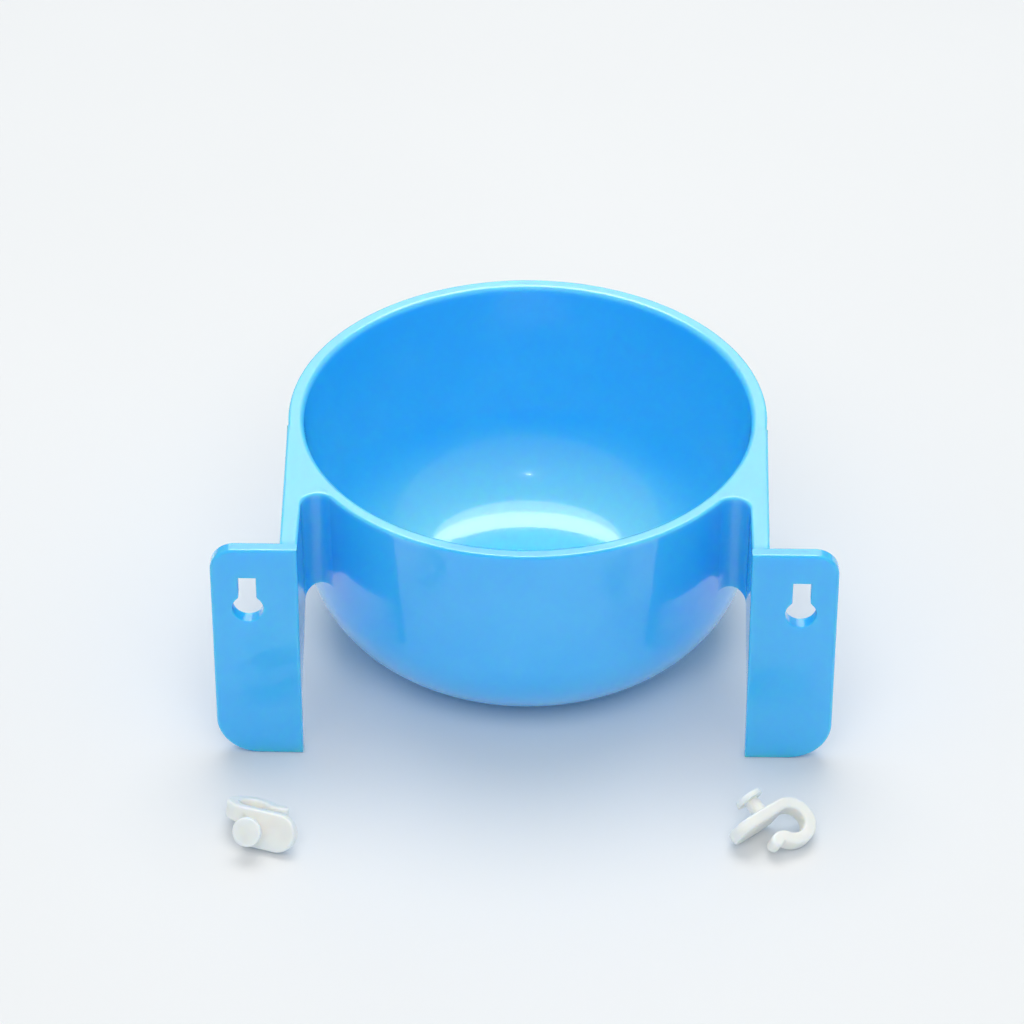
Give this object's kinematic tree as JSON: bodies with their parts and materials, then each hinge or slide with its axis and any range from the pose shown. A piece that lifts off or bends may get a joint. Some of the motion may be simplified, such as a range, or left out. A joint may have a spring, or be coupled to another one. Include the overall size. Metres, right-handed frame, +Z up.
{
  "type": "seed cup",
  "caption": "Round seed cup for a bird cage, with webbed keyhole ears at its front, and loose plastic hooks that clip the ears to a cage wire.",
  "frame": {"origin": "centre of the bowl's foot, on the floor", "axes": "+Z up along the bowl's axis, -Y towards the ears' front faces, +X to the right seen from the front"},
  "size_m": [0.1012, 0.1066, 0.042],
  "materials": {
    "cup_blue": "gloss",
    "hook_white": "satin"
  },
  "bodies": {
    "cup": {"cup": "cup_blue"},
    "hook_left": {"hook_left": "hook_white"},
    "hook_right": {"hook_right": "hook_white"}
  },
  "joints": [
    {"name": "hook_left_lift", "type": "slide", "parent": "cup", "child": "hook_left", "axis": [0, 0, 1], "range_m": [0, 0.045]},
    {"name": "hook_right_lift", "type": "slide", "parent": "cup", "child": "hook_right", "axis": [0, 0, 1], "range_m": [0, 0.045]}
  ]
}
